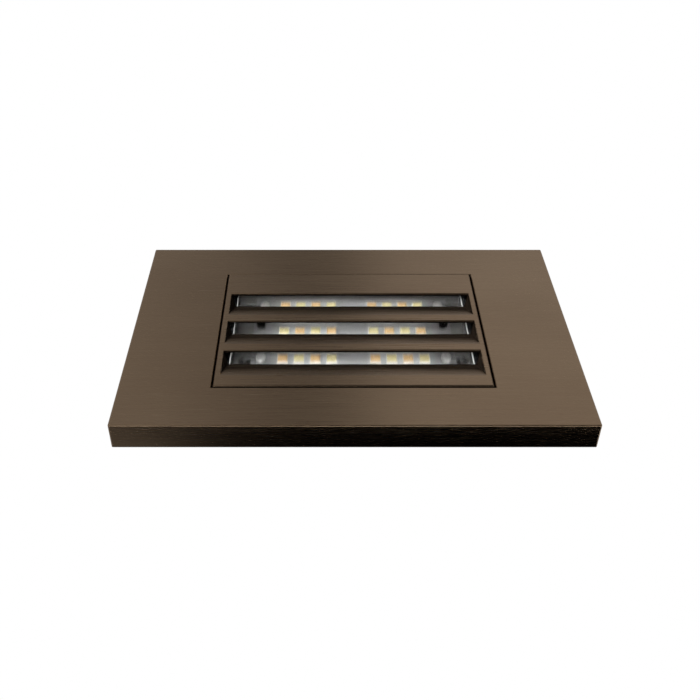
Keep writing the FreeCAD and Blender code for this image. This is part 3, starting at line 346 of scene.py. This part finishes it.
def solder_mask():
    """White board lacquer over raised tracks, greyer in the board's middle and towards its ends."""
    shop = new_material("solder_mask")
    low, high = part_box("led_board")
    middle = (low.x + high.x) / 2 / MM
    half = (high.x - low.x) / 2 / MM
    out = abs(shop.axis("X") - middle)
    toned = out.rise(half * 0.55, half * 0.92)
    centre = 1 - out.rise(CHIP_GROUP_START - 1.0, CHIP_GROUP_START + 0.4)
    track = abs(shop.wave("SINE", shop.axis("Z") * BOARD_TRACK_RATE))
    raised = track.rise(0.28, 0.34)
    bloom = shop.cloud(4.0, seed=2.0)
    grain = shop.cloud(0.15, seed=5.0)
    white = shop.mix(bloom * 0.5 + raised * 0.3, (0.56, 0.565, 0.57), (0.69, 0.69, 0.68))
    return shop.surface(
        Base_Color=shop.mix(
            toned, shop.mix(centre, white, (0.46, 0.46, 0.46)), (0.20, 0.20, 0.20)),
        Roughness=grain.rise(0.3, 0.7, 0.34, 0.46), Normal=shop.relief(raised * 0.9 + grain * 0.1, 0.03, 0.1))


def circuit_board():
    """Green board lacquer over copper tracks and pads."""
    shop = new_material("circuit_board")
    bend = shop.cloud(6.0, seed=1.0) * DRIVER_TRACK_BEND
    runs = abs(shop.wave("SINE", shop.axis("X") * DRIVER_TRACK_RATE + bend))
    track = runs.rise(0.45, 0.55)
    weave = shop.cloud(0.3, (6, 1, 1), 2.0, 3.0)
    return shop.surface(
        Base_Color=shop.mix(track * 0.8 + weave * 0.2, (0.006, 0.055, 0.022), (0.014, 0.13, 0.045)),
        Roughness=weave.rise(0.3, 0.7, 0.28, 0.4), Normal=shop.relief(track, 0.035, 0.1))


def phosphor(name, colour, pale, seed):
    """Silicone gel with phosphor: cloudy, with grains that settled unevenly, and white at a chip's ends."""
    shop = new_material(name)
    grain = shop.cells(0.12, seed=seed)
    settle = shop.cloud(1.1, seed=seed + 2)
    low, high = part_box("led_board")
    rise = shop.axis("Z") - (low.z + high.z) / 2 / MM
    inner = shop.wave("COSINE", rise * (2 * math.pi / CHIP_ROW_PITCH)).rise(0.70, 0.80)
    gel = shop.mix((grain * 0.4 + settle * 0.6).rise(0.25, 0.75), colour, pale)
    return shop.surface(
        Base_Color=shop.mix(inner, (0.70, 0.69, 0.66), gel),
        Roughness=settle.rise(0.3, 0.7, 0.18, 0.30), Normal=shop.relief(grain, 0.01))


SLEEVE_EDGE = (0.35, 0.30)      # millimetres below the capacitors' tops


def capacitor_sleeve():
    """Black shrink sleeve below a bare aluminium top."""
    shop = new_material("capacitor_sleeve")
    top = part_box("driver_capacitors")[1].y / MM
    end = shop.axis("Y").rise(*(top - drop for drop in SLEEVE_EDGE))
    fine = shop.cloud(0.4, detail=4.0, seed=6.0)
    return shop.surface(
        Base_Color=shop.mix(end, (0.012, 0.013, 0.016), (0.62, 0.62, 0.63)),
        Metallic=end, Roughness=fine.rise(0.3, 0.7, 0.3, 0.42), Normal=shop.relief(fine, 0.01, 0.25))


FINISHES = {
    "face_plate": lambda: brushed_bronze("bronze_plate", 1.0),
    "louver_panel": lambda: brushed_bronze("bronze_panel", 31.0, windows=True),
    "plate_magnets": lambda: plain_metal("nickel_plating", (0.70, 0.67, 0.60), 3.0, 0.2),
    "panel_screws": lambda: plain_metal("zinc_screws", (0.60, 0.60, 0.60), 5.0),
    "lens": frosted_lens,
    "lens_gasket": lambda: plastic("lens_seal_rubber", (0.03, 0.03, 0.032), 11.0, 0.7, 0.5, 0.03),
    "led_board": solder_mask,
    "warm_leds": lambda: plastic("warm_chip_frames", (0.80, 0.72, 0.60), 13.0, 0.35, 0.2, 0.005, 0.05),
    "cool_leds": lambda: plastic("cool_chip_frames", (0.80, 0.77, 0.66), 14.0, 0.35, 0.2, 0.005, 0.05),
    "board_screws": lambda: plain_metal("black_screws", (0.035, 0.033, 0.032), 15.0, 0.4),
    "board_terminals": lambda: solder("solder_pads"),
    "board_leads": lambda: plastic("lead_insulation", (0.10, 0.10, 0.10), 17.0, 0.4, 0.3, 0.01),
    "lead_grommets": lambda: plastic("grommet_rubber", (0.03, 0.03, 0.03), 18.0, 0.65),
    "thermal_pad": lambda: plastic("thermal_silicone", (0.22, 0.30, 0.42), 19.0, 0.7, 0.25, 0.02),
    "housing": lambda: cast_metal("housing_coat", (0.19, 0.187, 0.182), 20.0),
    "mounting_yoke": zinc_plate,
    "wall_gasket": closed_foam,
    "driver_board": circuit_board,
    "driver_screws": lambda: plain_metal("driver_screw_zinc", (0.62, 0.61, 0.58), 23.0),
    "driver_inductor": lambda: plastic("ferrite_core", (0.045, 0.043, 0.045), 24.0, 0.55, 0.3, 0.02),
    "driver_capacitors": capacitor_sleeve,
    "driver_chips": lambda: plastic("chip_epoxy", (0.018, 0.018, 0.019), 26.0, 0.5, 0.12, 0.006, 0.1),
    "supply_terminal": lambda: plastic("terminal_nylon", (0.03, 0.20, 0.075), 27.0, 0.4),
    "selector_switch": lambda: plastic("switch_case", (0.02, 0.02, 0.022), 28.0, 0.4),
    "selector_knob": lambda: plastic("knob_nylon", (0.60, 0.59, 0.56), 29.0, 0.35),
    "cover_gasket": lambda: plastic("cover_seal_rubber", (0.028, 0.028, 0.03), 30.0, 0.7, 0.5, 0.03),
    "rear_cover": lambda: cast_metal("cover_coat", (0.12, 0.118, 0.115), 40.0),
    "cover_screws": lambda: plain_metal("cover_screw_zinc", (0.60, 0.60, 0.59), 33.0),
    "gland_body": lambda: plastic("gland_nylon", (0.022, 0.022, 0.024), 34.0, 0.45, 0.35, 0.02),
    "gland_locknut": lambda: plastic("locknut_nylon", (0.022, 0.022, 0.024), 35.0, 0.45, 0.35, 0.02),
    "gland_seal": lambda: plastic("gland_seal_rubber", (0.05, 0.05, 0.052), 36.0, 0.7, 0.4, 0.03),
    "gland_nut": lambda: plastic("gland_nut_nylon", (0.022, 0.022, 0.024), 37.0, 0.45, 0.35, 0.02),
}


def finish_nodes():
    """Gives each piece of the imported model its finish."""
    for name, make in FINISHES.items():
        slots = nodes[name].material_slots
        material = make()
        for slot in slots:
            slot.material = material


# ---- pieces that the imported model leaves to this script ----

def new_piece(name, mesh, material, body="fixture"):
    """An object that rides on a body and takes its finish from a slot."""
    data = bpy.data.meshes.new(name)
    mesh.to_mesh(data)
    mesh.free()
    for face in data.polygons:
        face.use_smooth = True
    data.materials.append(material)
    piece = bpy.data.objects.new(name, data)
    bpy.context.scene.collection.objects.link(piece)
    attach(piece, body)
    return piece


WELD = 1e-6


def islands(node):
    """The lowest and highest corner of each separate solid of a node."""
    mesh = bmesh.new()
    mesh.from_mesh(nodes[node].data)
    bmesh.ops.remove_doubles(mesh, verts=mesh.verts, dist=WELD)
    left = set(mesh.verts)
    boxes = []
    while left:
        edge = [left.pop()]
        found = []
        while edge:
            vertex = edge.pop()
            found.append(vertex.co.copy())
            near = [link.other_vert(vertex) for link in vertex.link_edges]
            fresh = [other for other in near if other in left]
            left.difference_update(fresh)
            edge.extend(fresh)
        boxes.append([Vector([pick(place[axis] for place in found) for axis in range(3)])
                      for pick in (min, max)])
    mesh.free()
    return sorted(boxes, key=lambda box: tuple(round(part, 5) for part in box[0]))


def pillow(mesh, low, high, crown, steps, corner):
    """A pad with round corners. It stands on the plane Y = high.y and bulges towards -Y by the crown."""
    middle = (low + high) / 2
    half = (high - low) / 2
    rows = []
    for row in range(steps + 1):
        line = []
        for column in range(steps + 1):
            across = 2 * column / steps - 1
            up = 2 * row / steps - 1
            # a square grid pulled in at its corners
            x = across * (1 - corner * up * up * across * across / 2)
            z = up * (1 - corner * up * up * across * across / 2)
            bulge = (1 - across ** 4) * (1 - up ** 4)
            line.append(mesh.verts.new((middle.x + x * half.x, low.y - crown * bulge, middle.z + z * half.z)))
        rows.append(line)
    for row in range(steps):
        for column in range(steps):
            mesh.faces.new((rows[row][column], rows[row][column + 1],
                            rows[row + 1][column + 1], rows[row + 1][column]))
    rim = rows[0] + [line[-1] for line in rows[1:]] + rows[-1][-2::-1] + [line[0] for line in rows[-2:0:-1]]
    foot = [mesh.verts.new((vertex.co.x, high.y, vertex.co.z)) for vertex in rim]
    for index, vertex in enumerate(rim):
        after = (index + 1) % len(rim)
        mesh.faces.new((vertex, foot[index], foot[after], rim[after]))
    mesh.faces.new(foot)


GEL_FRAME = 0.15 * MM
GEL_RECESS = 0.15 * MM
GEL_SKIN = GEL_RECESS / 3       # from the chip's front to the gel's edge
GEL_CROWN = 0.03 * MM


def phosphor_gel(node, name, material):
    """Gel that fills the well in each chip, slightly crowned."""
    mesh = bmesh.new()
    for low, high in islands(node):
        inset = Vector((GEL_FRAME, 0, GEL_FRAME))
        near = Vector((low.x, low.y + GEL_SKIN, low.z)) + inset
        far = Vector((high.x, low.y + GEL_RECESS, high.z)) - inset
        pillow(mesh, near, far, GEL_CROWN, steps=6, corner=0.2)
    bmesh.ops.recalc_face_normals(mesh, faces=mesh.faces)
    new_piece(name, mesh, material)


DOME_SHARE = 0.45       # of a terminal's height


def solder_joints():
    """Domed solder on each terminal in place of its plain block."""
    mesh = bmesh.new()
    for low, high in islands("board_terminals"):
        crown = DOME_SHARE * (high.y - low.y)
        pillow(mesh, low + Vector((0, crown, 0)), high, crown, steps=12, corner=0.7)
    bmesh.ops.recalc_face_normals(mesh, faces=mesh.faces)
    material = solder("solder_domes")
    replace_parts(new_piece("solder_joints", mesh, material), "board_terminals")


def tube(mesh, path, radius, sides=8):
    """A closed tube along a list of points."""
    rings = []
    for index, point in enumerate(path):
        along = (path[min(index + 1, len(path) - 1)] - path[max(index - 1, 0)]).normalized()
        side = along.cross(Vector((0, 1, 0))).normalized()
        other = along.cross(side)
        rings.append([mesh.verts.new(point + radius * (math.cos(turn) * side + math.sin(turn) * other))
                      for turn in (2 * math.pi * step / sides for step in range(sides))])
    for first, second in zip(rings, rings[1:]):
        for step in range(sides):
            after = (step + 1) % sides
            mesh.faces.new((first[step], first[after], second[after], second[step]))
    mesh.faces.new(rings[0][::-1])
    mesh.faces.new(rings[-1])


WINDING_WIRE = 0.19 * MM
WINDING_FLANGE = 1.0 * MM
WINDING_CORE = 3.95 * MM
WINDING_SLACK = 1.03
STEPS_A_TURN = 28


def inductor_winding():
    """Copper wire wound between the drum's flanges."""
    low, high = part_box("driver_inductor")
    centre = (low + high) / 2
    start = low.y + WINDING_FLANGE + WINDING_WIRE
    end = high.y - WINDING_FLANGE - WINDING_WIRE
    turns = int((end - start) / (2 * WINDING_WIRE * WINDING_SLACK))
    steps = STEPS_A_TURN * turns
    radius = WINDING_CORE + WINDING_WIRE
    path = [Vector((centre.x + radius * math.cos(2 * math.pi * turns * step / steps),
                    start + (end - start) * step / steps,
                    centre.z + radius * math.sin(2 * math.pi * turns * step / steps)))
            for step in range(steps + 1)]
    mesh = bmesh.new()
    tube(mesh, path, WINDING_WIRE)
    bmesh.ops.recalc_face_normals(mesh, faces=mesh.faces)
    copper = plain_metal("enamelled_copper", (0.62, 0.23, 0.09), 45.0, 0.28)
    new_piece("inductor_winding", mesh, copper)


def bar(mesh, low, high, bevel):
    """A block with softened edges."""
    made = bmesh.ops.create_cube(mesh, size=1.0)
    middle = (low + high) / 2
    size = high - low
    place = Matrix.Translation(middle) @ Matrix.Diagonal((*size, 1.0))
    bmesh.ops.transform(mesh, matrix=place, verts=made["verts"])
    edges = {edge for vertex in made["verts"] for edge in vertex.link_edges}
    bmesh.ops.bevel(mesh, geom=list(edges), offset=bevel, segments=2, affect="EDGES", profile=0.6)


RIB_PLACE = 31.3 * MM
RIB_WIDTH = 0.3 * MM
RIB_RISE = 0.3 * MM
RIB_ROOT = RIB_RISE / 10        # how far a rib reaches into the lens
RIB_EDGE = RIB_RISE * 0.1
RIB_STOP = 3.0 * MM


def lens_ribs():
    """A low pale rib near each end of the lens, just inside the slots; its pale grey is a painted glint at
    the lens's ends.
    """
    low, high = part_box("lens")
    mesh = bmesh.new()
    for side in (-1, 1):
        x = side * RIB_PLACE
        bar(mesh, Vector((x - RIB_WIDTH / 2, low.y - RIB_RISE, low.z + RIB_STOP)),
            Vector((x + RIB_WIDTH / 2, low.y + RIB_ROOT, high.z - RIB_STOP)), RIB_EDGE)
    # painted highlight: the ribs' pale grey stands in for the glints at the lens's ends
    gloss = plastic("lens_rib_painted_glint", (0.52, 0.52, 0.51), 12.0, 0.3, 0.5, 0.01, 0.05)
    new_piece("lens_ribs", mesh, gloss)


TICK_LENGTH = 1.6 * MM
TICK_WIDTH = 0.5 * MM
TICK_HEIGHT = 0.25 * MM
TICK_GAP = 1.1 * MM
TICK_EDGE = TICK_HEIGHT * 0.4
MIDDLE_STRETCH = 1.5
SELECTOR_STOP = 3.0 * MM
SLOT_HALF_WIDTH = 1.75 * MM
GLAND_STAND = 2.7 * MM      # from the cover's back to the gland nut


def selector_marks():
    """Three raised marks beside the selector's slot, one for each stop of its knob."""
    knob_low, knob_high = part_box("selector_knob")
    cover_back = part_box("gland_nut")[0].y - GLAND_STAND
    centre = (knob_low + knob_high) / 2
    mesh = bmesh.new()
    for stop in (-1, 0, 1):
        x = centre.x + stop * SELECTOR_STOP
        z = centre.z + SLOT_HALF_WIDTH + TICK_GAP
        length = TICK_LENGTH * (MIDDLE_STRETCH if stop == 0 else 1.0)
        bar(mesh, Vector((x - TICK_WIDTH / 2, cover_back - TICK_HEIGHT, z)),
            Vector((x + TICK_WIDTH / 2, cover_back + TICK_HEIGHT, z + length)), TICK_EDGE)
    coat = cast_metal("mark_coat", (0.30, 0.29, 0.27), 50.0)
    new_piece("selector_marks", mesh, coat)


GRIP_COUNT = 18
GRIP_WIDTH = 0.55 * MM
GRIP_START = 3.4 * MM       # behind the nut's front
GRIP_END = 0.35 * MM        # short of its back
GRIP_RADII = (5.80 * MM, 3.92 * MM)     # the nut's, where a grip starts and ends
GRIP_ROOT = 0.4 * MM
GRIP_CREST = 0.12 * MM


def gland_grips():
    """Low ridges round the gland nut's nose."""
    low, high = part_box("gland_nut")
    centre = (low + high) / 2
    places = (low.y + GRIP_START, high.y - GRIP_END)
    mesh = bmesh.new()
    for grip in range(GRIP_COUNT):
        turn = 2 * math.pi * grip / GRIP_COUNT
        out = Vector((math.cos(turn), 0, math.sin(turn)))
        side = Vector((-out.z, 0, out.x)) * GRIP_WIDTH / 2
        ends = []
        for y, radius in zip(places, GRIP_RADII):
            root = Vector((centre.x, y, centre.z)) + out * (radius - GRIP_ROOT)
            crest = Vector((centre.x, y, centre.z)) + out * (radius + GRIP_CREST)
            ends.append([mesh.verts.new(root - side), mesh.verts.new(crest - side * 0.5),
                         mesh.verts.new(crest + side * 0.5), mesh.verts.new(root + side)])
        for corner in range(4):
            after = (corner + 1) % 4
            mesh.faces.new((ends[0][corner], ends[0][after], ends[1][after], ends[1][corner]))
        mesh.faces.new(ends[0][::-1])
        mesh.faces.new(ends[1])
    bmesh.ops.recalc_face_normals(mesh, faces=mesh.faces)
    new_piece("gland_grips", mesh, plastic("grip_nylon", (0.024, 0.024, 0.026), 52.0, 0.45))


# ---- studio ----

def set_camera():
    """The camera of the photograph."""
    data = bpy.data.cameras.new("camera")
    data.sensor_width = CAMERA_SENSOR
    data.lens = CAMERA_LENS
    data.shift_x = CAMERA_SHIFT
    data.clip_start = CAMERA_NEAR
    camera = bpy.data.objects.new("camera", data)
    camera.location = CAMERA_PLACE
    camera.rotation_euler = CAMERA_AIM.to_track_quat("-Z", "Y").to_euler()
    bpy.context.scene.collection.objects.link(camera)
    bpy.context.scene.camera = camera


def lay_floor():
    """A pale floor well below the light, where the photograph doesn't reach."""
    mesh = bmesh.new()
    bmesh.ops.create_grid(mesh, x_segments=2, y_segments=2, size=FLOOR_SIZE / 2,
                          matrix=Matrix.Translation((0, 0, FLOOR_LEVEL)))
    data = bpy.data.meshes.new("floor")
    mesh.to_mesh(data)
    mesh.free()
    shop = new_material("pale_floor")
    tone = shop.cloud(300.0, seed=1.0)
    data.materials.append(shop.surface(
        Base_Color=shop.mix(tone, (0.80, 0.80, 0.79), (0.84, 0.84, 0.83)), Roughness=0.8))
    floor = bpy.data.objects.new("floor", data)
    bpy.context.scene.collection.objects.link(floor)


CARD_REACH = 0.22
# Each card has its bends as Y and Z in metres, then from which X to which, in millimetres, its glow
# changes, and from which level to which. The first darkens the plate's lower edge, the second its bevels.
CARDS = {
    "dark_card": ([(-0.002, -0.052), (0.16, -0.20), (0.40, -0.02)], (-96.0, -54.0), (0.31, 0.0)),
    "floor_card": ([(-0.60, -0.295), (-0.03, -0.295)], (-125.0, -60.0), (0.66, 0.07)),
}


def gloss_card(name, bends, fade, levels):
    """A bent card that shows only in gloss, with a glow of its own that changes along X."""
    mesh = bmesh.new()
    rows = [[mesh.verts.new((x, y, z)) for x in (-CARD_REACH, CARD_REACH)] for y, z in bends]
    for first, second in zip(rows, rows[1:]):
        mesh.faces.new((first[0], first[1], second[1], second[0]))
    data = bpy.data.meshes.new(name)
    mesh.to_mesh(data)
    mesh.free()
    shop = new_material(name)
    glow = shop.axis("X").rise(*fade, *levels)
    shop.end(shop.node("Emission", inputs={"Color": shop.mix(glow, (0, 0, 0), (1, 1, 1))}))
    data.materials.append(shop.owner)
    card = bpy.data.objects.new(name, data)
    card.visible_camera = False
    card.visible_diffuse = False
    card.visible_shadow = False
    bpy.context.scene.collection.objects.link(card)


# Each lamp has its place and side in metres, its spread in degrees, its power in watts and its colour.
# The narrow spreads keep most of their light off the floor.
LAMPS = {
    "front_lamp": ((-0.30, -0.50, 0.40), 0.5, 40, 3.0, (1, 1, 1)),
    "slot_lamp": ((-0.07, -0.193, -0.174), 0.24, 70, 0.44, (1, 1, 1)),
    "back_lamp": ((0.45, 0.60, 0.15), 0.5, 40, 1.6, (1.0, 0.98, 0.95)),
}


def add_lamp(name, place, size, spread, power, colour):
    """A soft square lamp aimed at the light. It doesn't show in gloss."""
    data = bpy.data.lights.new(name, "AREA")
    data.size = size
    data.spread = math.radians(spread)
    data.energy = power
    data.color = colour
    lamp = bpy.data.objects.new(name, data)
    lamp.location = place
    lamp.rotation_euler = (-Vector(place)).to_track_quat("-Z", "Y").to_euler()
    lamp.visible_camera = False
    lamp.visible_glossy = False
    bpy.context.scene.collection.objects.link(lamp)


# Grey levels of the wall across X, from its left side at 0 to its right side at 1.
WALL_STOPS = [(0.30, 0.76), (0.40, 0.70), (0.45, 0.53), (0.485, 0.24), (0.508, 0.29), (0.54, 0.90),
              (0.70, 0.94)]
WALL_STRENGTH = 0.75


def light_room():
    """A white room whose gloss is a soft wall of light, darker in a band near its middle."""
    world = bpy.data.worlds.new("studio")
    bpy.context.scene.world = world
    shop = Shop(world)
    direction = shop.node("TexCoord", output="Generated")
    across = shop.node("SeparateXYZ", inputs={"Vector": direction}, output="X")
    wall = shop.node("ValToRGB", {"stops": WALL_STOPS}, {"Fac": across * 0.5 + 0.5}, "Color")
    lit = shop.node("Background", inputs={"Color": wall, "Strength": WALL_STRENGTH})
    seen = shop.node("Background", inputs={"Color": (1, 1, 1), "Strength": 1.0})
    by_camera = shop.node("LightPath", output="Is Camera Ray")
    shop.end(shop.node("MixShader", inputs={0: by_camera, 1: lit, 2: seen}), "OutputWorld")


bpy.context.scene.view_settings.view_transform = "Standard"
bpy.context.scene.view_settings.look = "None"
set_camera()
light_room()
lay_floor()
for name, card in CARDS.items():
    gloss_card(name, *card)
for name, lamp in LAMPS.items():
    add_lamp(name, *lamp)

finish_nodes()
warm_gel = phosphor("warm_gel", (0.86, 0.57, 0.26), (0.92, 0.66, 0.36), 41.0)
phosphor_gel("warm_leds", "warm_phosphor", warm_gel)
cool_gel = phosphor("cool_gel", (0.84, 0.74, 0.36), (0.90, 0.81, 0.47), 43.0)
phosphor_gel("cool_leds", "cool_phosphor", cool_gel)
solder_joints()
lens_ribs()
inductor_winding()
selector_marks()
gland_grips()
